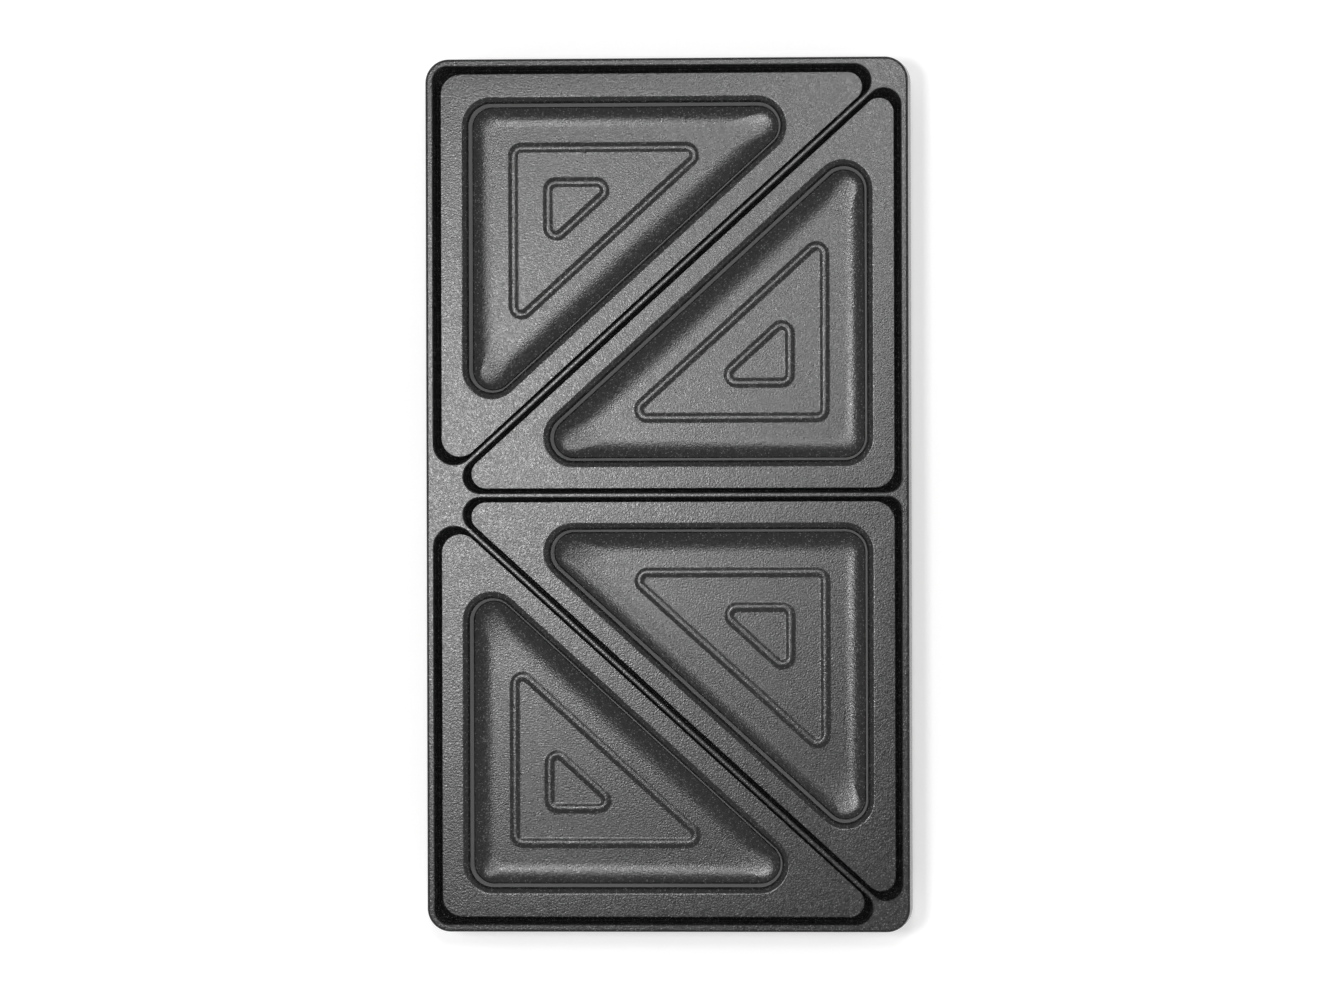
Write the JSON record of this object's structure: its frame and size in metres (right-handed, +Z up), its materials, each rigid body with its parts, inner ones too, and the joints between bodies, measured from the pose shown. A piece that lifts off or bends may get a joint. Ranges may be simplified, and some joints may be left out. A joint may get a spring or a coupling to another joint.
{
  "type": "sandwich press cooking plate",
  "caption": "Heated non-stick cooking plate with triangular pockets, raised ribs, a heating tube, a thermostat, a fuse and mounting posts underneath.",
  "frame": {"origin": "centre of the plate, on the plane of the posts' ends", "axes": "+Z up out of the cooking side, +Y along the plate's length, +X across it towards the side where the inner pockets have their square corners"},
  "size_m": [0.131, 0.236, 0.026],
  "materials": {
    "coated_aluminium": "satin sparkle non-stick coat",
    "tube_steel": "oxide-dulled steel sheath",
    "zinc_steel": "zinc-plated steel",
    "ceramic": "unglazed steatite",
    "bimetal": "rolled bimetal",
    "spring_bronze": "phosphor bronze",
    "brass": "bare brass",
    "tinned": "tinned brass",
    "silver": "silver alloy",
    "fuse_case": "lacquered can",
    "glass_fibre": "woven glass-fibre sleeve"
  },
  "bodies": {
    "root": {"cooking_plate": "coated_aluminium", "heating_tube": "tube_steel", "tube_seals": "ceramic", "terminal_pins": "zinc_steel", "terminal_blades": "tinned", "thermostat_foot": "zinc_steel", "thermostat_spacers": "ceramic", "thermostat_bimetal": "bimetal", "thermostat_push_pin": "ceramic", "thermostat_spring": "spring_bronze", "thermostat_fixed_blade": "brass", "thermostat_contacts": "silver", "thermostat_arm": "zinc_steel", "thermostat_adjuster": "brass", "thermostat_rivet": "zinc_steel", "thermostat_screws": "zinc_steel", "thermal_fuse": "fuse_case", "fuse_sleeve": "glass_fibre", "fuse_strap": "zinc_steel", "fuse_strap_screw": "zinc_steel", "earth_tab": "tinned", "earth_washer": "zinc_steel", "earth_screw": "brass"}
  },
  "joints": []
}
